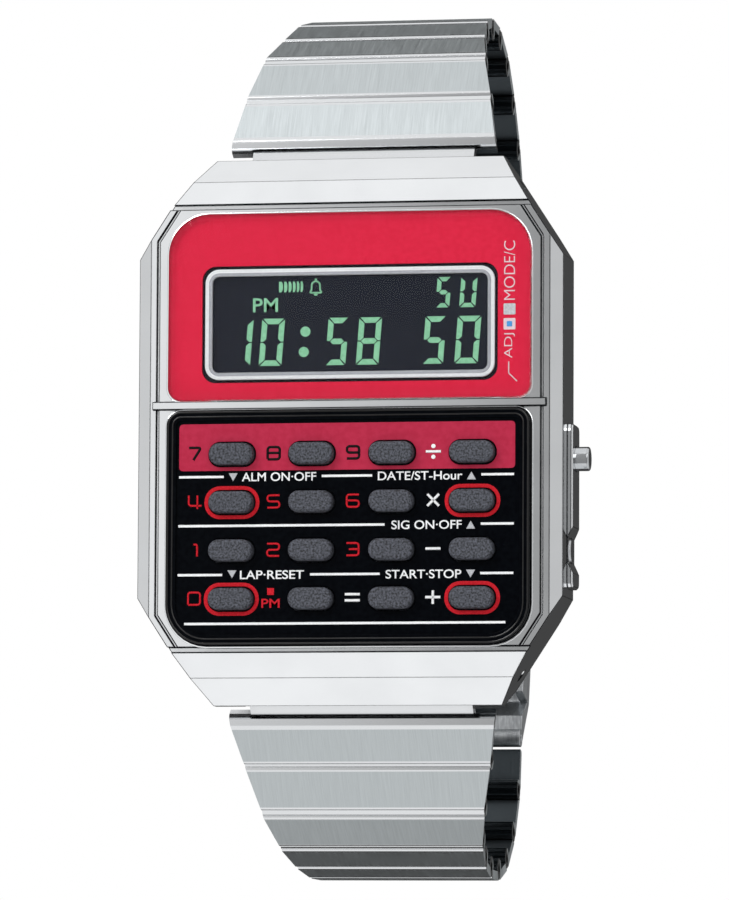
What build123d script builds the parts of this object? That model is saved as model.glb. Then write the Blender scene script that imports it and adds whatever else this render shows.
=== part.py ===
from build123d import *
import os
from math import cos, radians, sin

# Calculator watch with its steel bracelet closed, as on a wrist.
# The origin is the centre of the case back's outer face. The face looks towards -Y, twelve
# o'clock is +Z, the pushers are on +X, and the bracelet closes behind the case on +Y.
# A depth is counted from the front of the display glass, towards the back.

# Case
case_length = 43.2
case_width = 33.7
case_depth = 8.2
corner_cut_width = 5.35
corner_cut_length = 8.26
frame_drop = 0.7
front_wall = 1.7
back_thickness = 0.9
side_bevel_width = 1.0
side_bevel_depth = 0.43
side_face_depth = 5.4
underside_taper = 1.2
plateau_length = 34.4
groove_width = 0.4
groove_depth = 0.55
inner_facet_length = 1.95
inner_facet_start = 0.25
outer_facet_length = 2.05
outer_facet_fall = 2.8
inner_facet_fall = 1.25
lug_tip_depth = 1.1
lug_tip_cut = 1.2
side_wall_share = 0.0965
end_wall = 1.8
cavity_corner = 5.0
border_inset = 0.5
border_groove_width = 0.2
border_groove_depth = 0.2
ridge_height = 0.35
ridge_width = 0.6
ridge_inset = 1.25
overrun = 1.0
seat_clearance = 0.05
ledge_width = 0.9

# Lugs and spring bars
lug_side_gap = 0.25
lug_gap_start = 17.6
bar_from_end = 2.3
bar_depth = 5.2
roof_start_depth = 3.0
roof_mid_from_end = 1.7
roof_mid_depth = 3.6
roof_tip_depth = 5.5
bar_radius = 0.75
bar_tip_radius = 0.4
bar_side_gap = 0.15
bar_tip_length = 1.5
bar_clearance = 0.04

# Display
crystal_side = 2.5
crystal_height = 14.6
crystal_low = 2.15
crystal_thickness = 1.2
crystal_top_corner = 3.2
crystal_low_corner = 1.0
crystal_bevel_width = 0.5
crystal_bevel_depth = 0.25
mask_thickness = 0.25
window_side = 2.6
window_height = 9.2
window_low = 3.5
window_corner = 1.1
frame_ring_width = 0.55
frame_ring_clearance = 0.25
lcd_border = 0.95
lcd_front_height = 10.0
lcd_rear_height = 11.0
lcd_gap = 0.1
lcd_front_thickness = 0.9
lcd_rear_thickness = 0.8
connector_inset = 1.7
connector_thickness = 1.0

# Keypad
panel_side = 2.45
panel_top = 1.3
panel_low = -17.1
panel_drop = 0.1
panel_thickness = 0.9
panel_top_corner = 1.2
panel_low_corner = 3.2
panel_rim = 0.8
panel_recess = 0.15
key_width = 3.5
key_height = 1.7
key_corner = 0.8
key_rise = 0.85
key_margin = 4.875
key_pitch_z = 3.78
keys_centre_x = 0.37
keys_centre_z = -7.83
key_clearance = 0.12
key_flange = 0.35
key_flange_thickness = 0.3
key_flange_gap = 0.05
key_travel = 0.4
key_edge = 0.25
stem_radius = 0.5
stem_clearance = 0.2
contact_gap = 0.05
mat_gap = 0.1

# Module
module_clearance = 0.3
module_wall = 0.55
board_depth = 4.5
board_thickness = 0.5
board_clearance = 0.1
battery_radius = 10.0
battery_thickness = 1.6
battery_rise = 0.05
battery_centre_z = 4.3
battery_rim = 0.8
battery_edge = 0.25
clip_width = 6.0
clip_thickness = 0.2
chip_radius = 2.6
chip_height = 0.9
chip_edge = 0.5
chip_x_share = -0.255
quartz_radius = 0.8
quartz_length_share = 0.196
quartz_x_share = 0.216
parts_z = -10.2
capacitor_length = 1.6
capacitor_width = 0.8
capacitor_height = 0.6
capacitor_pitch = 2.0
capacitor_x_share = 0.376
buzzer_radius = 5.5
buzzer_thickness = 0.25
buzzer_z = -9.0

# Case back
back_margin = 1.9
back_length = 34.0
back_inset = 0.4
back_chamfer = 0.3
gasket_gap = 0.35
gasket_width = 0.5
gasket_thickness = 0.35
gasket_clearance = 0.05
screw_inset = 0.3
screw_z = 15.1
screw_radius = 0.4
screw_head_radius = 0.8
screw_head_height = 0.5
screw_length = 1.3
screw_slot_width = 0.22
screw_slot_depth = 0.2
screw_sink = 0.05
screw_clearance = 0.03

# Pushers and their guard
guard_top = 0.3
guard_low = -12.6
guard_rise = 0.45
guard_front_depth = 3.3
guard_back_depth = 6.8
guard_corner = 0.6
guard_chamfer = 0.15
notch_length = 3.6
notch_floor = 1.9
notch_depth = 0.4
pusher_depth = 5.0
mode_pusher_z = -2.4
set_pusher_z = -9.6
mode_pusher_rise = 1.55
set_pusher_rise = 0.15
pusher_radius = 0.95
pusher_edge = 0.15
pusher_clearance = 0.05
pusher_shaft_radius = 0.45
pusher_bore_depth = 1.2
pusher_travel = 0.5
spring_block = 0.4
clip_ring_radius = 0.85
clip_ring_thickness = 0.2
clip_ring_gap = 0.05
spring_radius = 0.68
spring_wire = 0.09
spring_turns = 3
spring_end_gap = 0.02

# Bracelet
link_pitch = 4.4
end_link_length = 8.0
plate_top = 1.0
plate_thickness = 0.75
plate_gap = 0.16
plate_edge = 0.35
barrel_radius = 0.85
barrel_gap = 0.06
knuckle_radius = 0.55
web_top = 0.3
web_low = -0.3
web_length = 1.6
slot_top = 0.45
pin_radius = 0.32
pin_clearance = 0.03
barrel_side_gap = 0.1
pin_end_gap = 0.15
tongue_width = 17.8
tongue_top = 0.35
tongue_thickness = 0.9
tongue_barrel_radius = 1.05
body_start = 3.4
body_thickness = 1.35
body_edge = 0.8
strand_overhang = 1.5
width_shares = [1, 0.925, 0.84, 0.77, 0.725, 0.7, 0.69, 0.685, 0.68, 0.68, 0.68]
knuckle_share = 0.12
upper_angles = [29, 38, 62, 66, 78, 92, 111.2, 128.3, 142, 153.8]
lower_angles = [38, 35, 56, 72, 81, 89, 102.3, 121.3, 144.7, 169.9]

# Clasp
clasp_end_angle = 20
blade_width = 12.2
blade_thickness = 0.7
blade_gap = 0.3
fold_angle = 14.5
fold_radius = 0.8
fold_pin_radius = 0.4
fold_pin_clearance = 0.04
fold_gap = 0.07
fold_centre_width = 6.0
cover_width = 14.6
cover_wall = 0.7
cover_thickness = 0.8
cover_gap = 0.15
cover_ear_gap = 8.4
cover_ear_radius = 0.75
cover_ramp_angle = 16.5
open_pivot_gap = 0.15

half_length = case_length / 2
half_width = case_width / 2
wall_depth = frame_drop + front_wall
underside_depth = case_depth - back_thickness
mask_depth = crystal_thickness + mask_thickness
panel_back = panel_drop + panel_thickness
board_back = board_depth + board_thickness

cavity_width = case_width * (1 - 2 * side_wall_share)
cavity_length = 2 * (lug_gap_start - end_wall)
crystal_width = case_width - 2 * crystal_side
window_width = crystal_width - 2 * window_side
lcd_width = window_width + 2 * lcd_border
connector_width = lcd_width - 2 * connector_inset
panel_width = case_width - 2 * panel_side
key_columns = 4
key_pitch_x = (panel_width - 2 * key_margin) / (key_columns - 1)
screw_x = cavity_width / 2 - screw_inset
back_width = 2 * (screw_x + back_margin)
lug_gap = tongue_width + 2 * lug_side_gap
bar_length = lug_gap - 2 * bar_side_gap
strand_width = lug_gap + 2 * strand_overhang


def y_at(depth):
    return depth - case_depth


def front_plane(depth):
    return Plane.XZ.offset(case_depth - depth)


def save(builder, name):
    builder.part.label = name
    export_step(builder.part, "parts/" + name + ".step")


def rod(pin, radius, reach, mode=Mode.ADD):
    """A cylinder across the watch, centred on X = 0, at a (y, z) place."""
    with BuildSketch(Plane.YZ) as disc:
        with Locations(pin):
            Circle(radius)
    extrude(disc.sketch, amount=reach, both=True, mode=mode)


def side_rods(pin, radius, start, end, mode=Mode.ADD):
    """Two cylinders across the watch, from start to end on each side."""
    for side in (-1, 1):
        with BuildSketch(Plane.YZ.offset(side * start)) as disc:
            with Locations(pin):
                Circle(radius)
        extrude(disc.sketch, amount=end - start, dir=(side, 0, 0), mode=mode)


def octagon(width, length, cut_width, cut_length):
    """A rectangle with its four corners cut, in the sketch that is open."""
    x, z = width / 2, length / 2
    Polygon(
        (-x, z - cut_length),
        (-x + cut_width, z),
        (x - cut_width, z),
        (x, z - cut_length),
        (x, -z + cut_length),
        (x - cut_width, -z),
        (-x + cut_width, -z),
        (-x, -z + cut_length),
        align=None,
    )


def two_radius_plate(width, low, top, low_radius, top_radius, grow=0):
    """A rectangle with one radius at its top corners and one at its low corners."""
    with BuildSketch(mode=Mode.PRIVATE) as outline:
        with Locations((0, (low + top) / 2)):
            Rectangle(width + 2 * grow, top - low + 2 * grow)
        fillet(outline.vertices().group_by(Axis.Y)[-1], top_radius + grow)
        fillet(outline.vertices().group_by(Axis.Y)[0], low_radius + grow)
    return outline.sketch


crystal_top = crystal_low + crystal_height
window_centre = (0, window_low + window_height / 2)
crystal_outline = (crystal_width, crystal_low, crystal_top, crystal_low_corner, crystal_top_corner)
panel_outline = (panel_width, panel_low, panel_top, panel_low_corner, panel_top_corner)
gasket_size = 2 * (gasket_gap + gasket_width)

bar_z = half_length - bar_from_end
bar_y = y_at(bar_depth)
facet_start = plateau_length / 2 + groove_width
inner_facet_end = facet_start + inner_facet_length
inner_facet_depth = frame_drop + inner_facet_start + inner_facet_fall
lug_tip_top = inner_facet_depth + outer_facet_fall

guard_centre_z = (guard_top + guard_low) / 2
guard_x = half_width + guard_rise
pusher_y = y_at(pusher_depth)
spring_floor = half_width - pusher_bore_depth
spring_top = spring_floor + pusher_travel + spring_block
ring_x = cavity_width / 2 - clip_ring_gap
ring_low = ring_x - clip_ring_thickness
cavity_x = cavity_width / 2

os.makedirs("parts", exist_ok=True)

# Case body
with BuildPart() as case_body:
    with BuildSketch(front_plane(0)):
        octagon(case_width, case_length, corner_cut_width, corner_cut_length)
    extrude(amount=-underside_depth)
    # End view: plateau, groove, two facets and the lug tip
    with BuildSketch(Plane.YZ):
        with BuildLine():
            Polyline(
                (y_at(frame_drop), 0),
                (y_at(frame_drop), plateau_length / 2),
                (y_at(frame_drop + groove_depth), plateau_length / 2),
                (y_at(frame_drop + groove_depth), facet_start),
                (y_at(frame_drop + inner_facet_start), facet_start),
                (y_at(inner_facet_depth), inner_facet_end),
                (y_at(lug_tip_top), half_length),
                (y_at(lug_tip_top + lug_tip_depth), half_length),
                (y_at(underside_depth), half_length - lug_tip_cut),
                (y_at(underside_depth), 0),
                close=True,
            )
        make_face()
        mirror(about=Plane.XZ)
    extrude(amount=half_width, both=True, mode=Mode.INTERSECT)
    # Top view: side bevels, side faces and the tapered underside
    bevel_end = frame_drop + side_bevel_depth
    with BuildSketch(Plane.XY):
        with BuildLine():
            Polyline(
                (0, y_at(frame_drop)),
                (half_width - side_bevel_width, y_at(frame_drop)),
                (half_width, y_at(bevel_end)),
                (half_width, y_at(bevel_end + side_face_depth)),
                (half_width - underside_taper, y_at(underside_depth)),
                (0, y_at(underside_depth)),
                close=True,
            )
        make_face()
        mirror(about=Plane.YZ)
    extrude(amount=half_length, both=True, mode=Mode.INTERSECT)
    # Fine groove along the plateau's long sides and cut corners
    with BuildSketch(front_plane(frame_drop)):
        for inset, mode in ((0, Mode.ADD), (border_groove_width, Mode.SUBTRACT)):
            with BuildSketch(mode=Mode.PRIVATE) as border:
                octagon(case_width, case_length, corner_cut_width, corner_cut_length)
                Rectangle(case_width - 2 * side_bevel_width, case_length, mode=Mode.INTERSECT)
                offset(amount=-(border_inset + inset), kind=Kind.INTERSECTION)
            add(border.sketch, mode=mode)
        Rectangle(case_width, plateau_length, mode=Mode.INTERSECT)
    extrude(amount=-border_groove_depth, mode=Mode.SUBTRACT)
    # Ridge between the display and the keypad
    with BuildSketch(front_plane(frame_drop - ridge_height)):
        with Locations((0, (crystal_low + panel_top) / 2)):
            Rectangle(case_width - 2 * ridge_inset, ridge_width)
    extrude(amount=-(ridge_height + front_wall))
    # Seats of the glass and of the keypad panel, each with its ledge
    for outline, seat_depth in ((crystal_outline, mask_depth), (panel_outline, panel_back)):
        with BuildSketch(front_plane(0)):
            add(two_radius_plate(*outline, seat_clearance))
        extrude(amount=-seat_depth, mode=Mode.SUBTRACT)
        with BuildSketch(front_plane(0)):
            add(two_radius_plate(*outline, -ledge_width))
        extrude(amount=-wall_depth, mode=Mode.SUBTRACT)
    # Module cavity, open at the back, and the gasket's groove round it
    with BuildSketch(front_plane(wall_depth)):
        RectangleRounded(cavity_width, cavity_length, cavity_corner)
    extrude(amount=-(underside_depth - wall_depth), mode=Mode.SUBTRACT)
    with BuildSketch(front_plane(underside_depth - gasket_thickness)):
        RectangleRounded(
            cavity_width + gasket_size + 2 * gasket_clearance,
            cavity_length + gasket_size + 2 * gasket_clearance,
            cavity_corner + gasket_gap + gasket_width + gasket_clearance,
        )
        RectangleRounded(
            cavity_width + 2 * (gasket_gap - gasket_clearance),
            cavity_length + 2 * (gasket_gap - gasket_clearance),
            cavity_corner + gasket_gap - gasket_clearance,
            mode=Mode.SUBTRACT,
        )
    extrude(amount=-gasket_thickness, mode=Mode.SUBTRACT)
    # Room between the lug ears, below the facets
    with BuildSketch(Plane.YZ):
        with BuildLine():
            Polyline(
                (y_at(roof_start_depth), lug_gap_start),
                (y_at(roof_mid_depth), half_length - roof_mid_from_end),
                (y_at(roof_tip_depth), half_length),
                (y_at(roof_tip_depth), half_length + overrun),
                (overrun, half_length + overrun),
                (overrun, lug_gap_start),
                close=True,
            )
        make_face()
        mirror(about=Plane.XZ)
    extrude(amount=lug_gap / 2, both=True, mode=Mode.SUBTRACT)
    for end in (-1, 1):
        rod((bar_y, end * bar_z), bar_tip_radius + bar_clearance, half_width, Mode.SUBTRACT)
    # Holes for the back's screws
    with BuildSketch(front_plane(underside_depth - screw_length)):
        with GridLocations(2 * screw_x, 2 * screw_z, 2, 2):
            Circle(screw_radius + screw_clearance)
    extrude(amount=-screw_length, mode=Mode.SUBTRACT)
    # Guard round the two pushers
    with BuildPart(mode=Mode.PRIVATE) as guard:
        with BuildSketch(Plane.YZ.offset(half_width - overrun)):
            with Locations((y_at((guard_front_depth + guard_back_depth) / 2), guard_centre_z)):
                RectangleRounded(guard_back_depth - guard_front_depth, guard_top - guard_low, guard_corner)
        extrude(amount=guard_rise + overrun)
        chamfer(guard.faces().sort_by(Axis.X)[-1].edges(), guard_chamfer)
    add(guard.part)
    with BuildSketch(front_plane(guard_front_depth - overrun)):
        with BuildLine():
            Polyline(
                (guard_x - notch_depth, set_pusher_z - notch_floor / 2),
                (guard_x, set_pusher_z - notch_length / 2),
                (guard_x + overrun, set_pusher_z - notch_length / 2),
                (guard_x + overrun, set_pusher_z + notch_length / 2),
                (guard_x, set_pusher_z + notch_length / 2),
                (guard_x - notch_depth, set_pusher_z + notch_floor / 2),
                close=True,
            )
        make_face()
    extrude(amount=-(guard_back_depth - guard_front_depth + 2 * overrun), mode=Mode.SUBTRACT)
    # Bores of the two pushers
    for pusher_z in (mode_pusher_z, set_pusher_z):
        with BuildSketch(Plane.YZ.offset(spring_floor)):
            with Locations((pusher_y, pusher_z)):
                Circle(pusher_radius + pusher_clearance)
        extrude(amount=guard_x - spring_floor + overrun, mode=Mode.SUBTRACT)
        with BuildSketch(Plane.YZ.offset(cavity_x - overrun)):
            with Locations((pusher_y, pusher_z)):
                Circle(pusher_shaft_radius + pusher_clearance)
        extrude(amount=spring_floor - cavity_x + 2 * overrun, mode=Mode.SUBTRACT)
save(case_body, "case_body")

# Case back, gasket and screws
with BuildPart() as case_back:
    with BuildSketch(front_plane(underside_depth)):
        octagon(case_width - 2 * back_inset, case_length, corner_cut_width, corner_cut_length)
    extrude(amount=-back_thickness)
    with BuildSketch(front_plane(underside_depth)):
        Rectangle(back_width, back_length)
    extrude(amount=-back_thickness, mode=Mode.INTERSECT)
    chamfer(case_back.faces().sort_by(Axis.Y)[-1].edges(), back_chamfer)
    with BuildSketch(front_plane(case_depth - screw_head_height - screw_sink)):
        with GridLocations(2 * screw_x, 2 * screw_z, 2, 2):
            Circle(screw_head_radius + screw_clearance)
    extrude(amount=-(screw_head_height + screw_sink), mode=Mode.SUBTRACT)
    with BuildSketch(front_plane(underside_depth)):
        with GridLocations(2 * screw_x, 2 * screw_z, 2, 2):
            Circle(screw_radius + screw_clearance)
    extrude(amount=-back_thickness, mode=Mode.SUBTRACT)
save(case_back, "case_back")

with BuildPart() as back_gasket:
    with BuildSketch(front_plane(underside_depth - gasket_thickness)):
        RectangleRounded(
            cavity_width + gasket_size,
            cavity_length + gasket_size,
            cavity_corner + gasket_gap + gasket_width,
        )
        RectangleRounded(
            cavity_width + 2 * gasket_gap,
            cavity_length + 2 * gasket_gap,
            cavity_corner + gasket_gap,
            mode=Mode.SUBTRACT,
        )
    extrude(amount=-gasket_thickness)
save(back_gasket, "back_gasket")

with BuildPart() as back_screws:
    with BuildSketch(front_plane(case_depth - screw_sink)):
        with GridLocations(2 * screw_x, 2 * screw_z, 2, 2):
            Circle(screw_head_radius)
    extrude(amount=screw_head_height)
    with BuildSketch(front_plane(case_depth - screw_sink)):
        with GridLocations(2 * screw_x, 2 * screw_z, 2, 2):
            Circle(screw_radius)
    extrude(amount=back_thickness + screw_length - screw_sink - screw_clearance)
    with BuildSketch(front_plane(case_depth - screw_sink)):
        with GridLocations(2 * screw_x, 2 * screw_z, 2, 2):
            Rectangle(2 * screw_head_radius, screw_slot_width)
            Rectangle(screw_slot_width, 2 * screw_head_radius)
    extrude(amount=screw_slot_depth, mode=Mode.SUBTRACT)
save(back_screws, "back_screws")

# Display glass, printed mask, window frame, display cell and its contact strips
with BuildPart() as crystal:
    with BuildSketch(front_plane(0)):
        add(two_radius_plate(*crystal_outline))
    extrude(amount=-crystal_thickness)
    front_face = crystal.faces().sort_by(Axis.Y)[0]
    chamfer(front_face.edges(), crystal_bevel_width, crystal_bevel_depth, reference=front_face)
save(crystal, "crystal")

with BuildPart() as dial_mask:
    with BuildSketch(front_plane(crystal_thickness)):
        add(two_radius_plate(*crystal_outline))
        with Locations(window_centre):
            RectangleRounded(window_width, window_height, window_corner, mode=Mode.SUBTRACT)
    extrude(amount=-mask_thickness)
save(dial_mask, "dial_mask")

with BuildPart() as window_frame:
    with BuildSketch(front_plane(crystal_thickness)):
        with Locations(window_centre):
            ring_inset = 2 * frame_ring_clearance
            RectangleRounded(window_width - ring_inset, window_height - ring_inset, window_corner)
            ring_inset += 2 * frame_ring_width
            RectangleRounded(
                window_width - ring_inset,
                window_height - ring_inset,
                window_corner - frame_ring_width,
                mode=Mode.SUBTRACT,
            )
    extrude(amount=-mask_thickness)
save(window_frame, "window_frame")

lcd_front_depth = mask_depth + lcd_gap
lcd_rear_depth = lcd_front_depth + lcd_front_thickness
lcd_back = lcd_rear_depth + lcd_rear_thickness
with BuildPart() as lcd_cell:
    with BuildSketch(front_plane(lcd_front_depth)):
        with Locations(window_centre):
            Rectangle(lcd_width, lcd_front_height)
    extrude(amount=-lcd_front_thickness)
    with BuildSketch(front_plane(lcd_rear_depth)):
        with Locations(window_centre):
            Rectangle(lcd_width, lcd_rear_height)
    extrude(amount=-lcd_rear_thickness)
save(lcd_cell, "lcd_cell")

strip_pitch = lcd_rear_height - connector_thickness
with BuildPart() as lcd_connectors:
    with BuildSketch(front_plane(lcd_back)):
        with Locations(window_centre):
            with GridLocations(0, strip_pitch, 1, 2):
                Rectangle(connector_width, connector_thickness)
    extrude(amount=-(board_depth - lcd_back))
save(lcd_connectors, "lcd_connectors")

# Keypad panel, keys and their rubber sheet
keys_centre = (keys_centre_x, keys_centre_z)
panel_centre_z = (panel_low + panel_top) / 2
hole_width = key_width + 2 * key_clearance
hole_height = key_height + 2 * key_clearance
with BuildPart() as keypad_panel:
    with BuildSketch(front_plane(panel_drop)):
        add(two_radius_plate(*panel_outline))
    extrude(amount=-panel_thickness)
    with BuildSketch(front_plane(panel_drop)):
        add(two_radius_plate(*panel_outline, -panel_rim))
    extrude(amount=-panel_recess, mode=Mode.SUBTRACT)
    with BuildSketch(front_plane(panel_drop)):
        with Locations(keys_centre):
            with GridLocations(key_pitch_x, key_pitch_z, key_columns, key_columns):
                RectangleRounded(hole_width, hole_height, key_corner + key_clearance)
    extrude(amount=-panel_thickness, mode=Mode.SUBTRACT)
save(keypad_panel, "keypad_panel")

key_front = panel_drop + panel_recess - key_rise
flange_depth = panel_back + key_flange_gap
flange_back = flange_depth + key_flange_thickness
key_rows = [
    ["7", "8", "9", "divide"],
    ["4", "5", "6", "multiply"],
    ["1", "2", "3", "subtract"],
    ["0", "point", "equals", "add"],
]
middle = (len(key_rows) - 1) / 2
for row, names in enumerate(key_rows):
    for column, name in enumerate(names):
        key_x = keys_centre_x + (column - middle) * key_pitch_x
        key_z = keys_centre_z - (row - middle) * key_pitch_z
        with BuildPart() as key:
            with BuildSketch(front_plane(key_front)):
                with Locations((key_x, key_z)):
                    RectangleRounded(key_width, key_height, key_corner)
            extrude(amount=-(flange_depth - key_front))
            fillet(key.faces().sort_by(Axis.Y)[0].edges(), key_edge)
            with BuildSketch(front_plane(flange_depth)):
                with Locations((key_x, key_z)):
                    RectangleRounded(key_width + 2 * key_flange, key_height + 2 * key_flange, key_corner)
            extrude(amount=-key_flange_thickness)
            with BuildSketch(front_plane(flange_back)):
                with Locations((key_x, key_z)):
                    Circle(stem_radius)
            extrude(amount=-(board_depth - key_travel - contact_gap - flange_back))
        save(key, "key_" + name)

mat_depth = flange_back + key_travel + key_flange_gap
with BuildPart() as key_mat:
    with BuildSketch(front_plane(mat_depth)):
        add(two_radius_plate(*panel_outline, -(ledge_width + mat_gap)))
        with Locations(keys_centre):
            with GridLocations(key_pitch_x, key_pitch_z, key_columns, key_columns):
                Circle(stem_radius + stem_clearance, mode=Mode.SUBTRACT)
    extrude(amount=-(wall_depth - mat_depth))
save(key_mat, "key_mat")

# Module frame, board and what the board carries
frame_width = cavity_width - 2 * module_clearance
frame_length = cavity_length - 2 * module_clearance
frame_depth = wall_depth + seat_clearance
board_width = frame_width - 2 * module_wall
clip_leg_x = (battery_radius + board_width / 2) / 2
chip_x = board_width * chip_x_share
quartz_x = board_width * quartz_x_share
quartz_length = board_width * quartz_length_share
capacitor_x = board_width * capacitor_x_share
board_length = frame_length - 2 * module_wall
frame_corner = cavity_corner - module_clearance
board_corner = frame_corner - module_wall
frame_back = board_back + battery_rise + battery_thickness
with BuildPart() as module_frame:
    with BuildSketch(front_plane(frame_depth)):
        RectangleRounded(frame_width, frame_length, frame_corner)
    extrude(amount=-(frame_back - frame_depth))
    with BuildSketch(front_plane(board_depth)):
        RectangleRounded(board_width, board_length, board_corner)
    extrude(amount=-(frame_back - board_depth), mode=Mode.SUBTRACT)
    with BuildSketch(front_plane(frame_depth)):
        with Locations(window_centre):
            Rectangle(lcd_width + 2 * lcd_gap, lcd_rear_height + 2 * lcd_gap)
    extrude(amount=-(lcd_back - frame_depth), mode=Mode.SUBTRACT)
    with BuildSketch(front_plane(frame_depth)):
        with Locations(window_centre):
            with GridLocations(0, strip_pitch, 1, 2):
                Rectangle(connector_width + 2 * lcd_gap, connector_thickness + 2 * lcd_gap)
        with Locations(keys_centre):
            with GridLocations(key_pitch_x, key_pitch_z, key_columns, key_columns):
                Circle(stem_radius + stem_clearance)
    extrude(amount=-(board_depth - frame_depth), mode=Mode.SUBTRACT)
    # Notches for the ends of the two pushers
    with BuildSketch(Plane.YZ.offset(frame_width / 2 - module_wall)):
        for pusher_z in (mode_pusher_z, set_pusher_z):
            with Locations((pusher_y, pusher_z)):
                Circle(clip_ring_radius + board_clearance)
    extrude(amount=module_wall, mode=Mode.SUBTRACT)
save(module_frame, "module_frame")

with BuildPart() as circuit_board:
    with BuildSketch(front_plane(board_depth)):
        RectangleRounded(
            board_width - 2 * board_clearance,
            board_length - 2 * board_clearance,
            board_corner - board_clearance,
        )
    extrude(amount=-board_thickness)
save(circuit_board, "circuit_board")

with BuildPart() as board_components:
    with BuildSketch(front_plane(board_back)):
        with Locations((chip_x, parts_z)):
            Circle(chip_radius)
    extrude(amount=-chip_height)
    fillet(board_components.faces().sort_by(Axis.Y)[-1].edges(), chip_edge)
    with BuildSketch(Plane.YZ.offset(quartz_x - quartz_length / 2)):
        with Locations((y_at(board_back + quartz_radius), parts_z)):
            Circle(quartz_radius)
    extrude(amount=quartz_length)
    with BuildSketch(front_plane(board_back)):
        with Locations((capacitor_x, parts_z)):
            with GridLocations(0, capacitor_pitch, 1, 3):
                Rectangle(capacitor_length, capacitor_width)
    extrude(amount=-capacitor_height)
save(board_components, "board_components")

battery_depth = board_back + battery_rise
with BuildPart() as battery:
    with BuildSketch(front_plane(battery_depth)):
        with Locations((0, battery_centre_z)):
            Circle(battery_radius - battery_rim)
    extrude(amount=-battery_thickness)
    with BuildSketch(front_plane(battery_depth + battery_edge)):
        with Locations((0, battery_centre_z)):
            Circle(battery_radius)
    extrude(amount=-(battery_thickness - battery_edge))
    fillet(battery.faces().sort_by(Axis.Y)[-1].edges(), battery_edge)
save(battery, "battery")

clip_depth = battery_depth + battery_thickness
with BuildPart() as battery_clip:
    with BuildSketch(front_plane(clip_depth)):
        with Locations((0, battery_centre_z)):
            Rectangle(2 * clip_leg_x, clip_width)
    extrude(amount=-clip_thickness)
    with BuildSketch(front_plane(clip_depth + clip_thickness)):
        with Locations((0, battery_centre_z)):
            with GridLocations(2 * clip_leg_x - clip_thickness, 0, 2, 1):
                Rectangle(clip_thickness, clip_width)
    extrude(amount=clip_depth + clip_thickness - board_back)
save(battery_clip, "battery_clip")

with BuildPart() as buzzer_disc:
    with BuildSketch(front_plane(underside_depth - buzzer_thickness)):
        with Locations((0, buzzer_z)):
            Circle(buzzer_radius)
    extrude(amount=-buzzer_thickness)
save(buzzer_disc, "buzzer_disc")

# Pushers with their clip rings, and their springs
pushers = [
    ("mode", mode_pusher_z, half_width + mode_pusher_rise),
    ("set", set_pusher_z, half_width + set_pusher_rise),
]
for name, pusher_z, reach in pushers:
    place = (pusher_y, pusher_z)
    with BuildPart() as pusher:
        with BuildSketch(Plane.YZ.offset(spring_top)):
            with Locations(place):
                Circle(pusher_radius)
        extrude(amount=reach - spring_top)
        fillet(pusher.faces().sort_by(Axis.X)[-1].edges(), pusher_edge)
        with BuildSketch(Plane.YZ.offset(ring_low)):
            with Locations(place):
                Circle(pusher_shaft_radius)
        extrude(amount=spring_top - ring_low)
        with BuildSketch(Plane.YZ.offset(ring_low)):
            with Locations(place):
                Circle(clip_ring_radius)
        extrude(amount=clip_ring_thickness)
    save(pusher, name + "_pusher")

    coil_start = spring_floor + spring_wire + spring_end_gap
    coil_length = spring_top - spring_floor - 2 * (spring_wire + spring_end_gap)
    coil_centre = (coil_start, pusher_y, pusher_z)
    with BuildPart() as spring:
        with BuildLine() as coil:
            Helix(coil_length / spring_turns, coil_length, spring_radius, coil_centre, (1, 0, 0))
        with BuildSketch(Plane(origin=coil.line @ 0, z_dir=coil.line % 0)):
            Circle(spring_wire)
        sweep(path=coil.line, is_frenet=True)
    save(spring, name + "_spring")

# Bracelet: the pins' places, from the spring bar to the clasp, in the upper half
pin_widths = [strand_width * share for share in width_shares]


def pin_line(angles, side):
    """The pins of one strand as (y, z), and the plane of each link, seen from outside."""
    y, z = bar_y, bar_z
    pins, planes = [(y, side * z)], []
    for number, angle in enumerate(angles):
        run, rise = sin(radians(angle)), cos(radians(angle))
        planes.append(Plane(origin=(0, y, side * z), x_dir=(side, 0, 0), z_dir=(0, -rise, side * run)))
        length = link_pitch if number else end_link_length
        y, z = y + length * run, z + length * rise
        pins.append((y, side * z))
    return pins, planes


def far_end(plane, length, pin, width):
    """Room for the next link's barrel, and this link's knuckle inside it, on a web."""
    knuckle = width * knuckle_share
    rod(pin, barrel_radius + barrel_gap, width / 2 + barrel_side_gap, Mode.SUBTRACT)
    with BuildSketch(plane.offset(web_low)) as web:
        with Locations((0, length - web_length / 2)):
            Rectangle(2 * knuckle, web_length)
    extrude(web.sketch, amount=web_top - web_low)
    rod(pin, knuckle_radius, knuckle)
    rod(pin, pin_radius + pin_clearance, knuckle, Mode.SUBTRACT)


def plate(plane, start, end, near_width, far_width, low, thickness, radii):
    """The link's outer plate, its cross edges rounded by one radius at each end."""
    with BuildPart(mode=Mode.PRIVATE) as body:
        with BuildSketch(plane.offset(low)):
            Polygon(
                (-near_width / 2, start),
                (near_width / 2, start),
                (far_width / 2, end),
                (-far_width / 2, end),
                align=None,
            )
        extrude(amount=thickness)
        outward = Axis((0, 0, 0), plane.z_dir)
        forward = Axis((0, 0, 0), plane.y_dir)
        top = body.edges().filter_by(Axis.X).group_by(outward)[-1].sort_by(forward)
        fillet(top[0], radii[0])
        top = body.edges().filter_by(Axis.X).group_by(outward)[-1].sort_by(forward)
        fillet(top[-1], radii[1])
    return body.part


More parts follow.
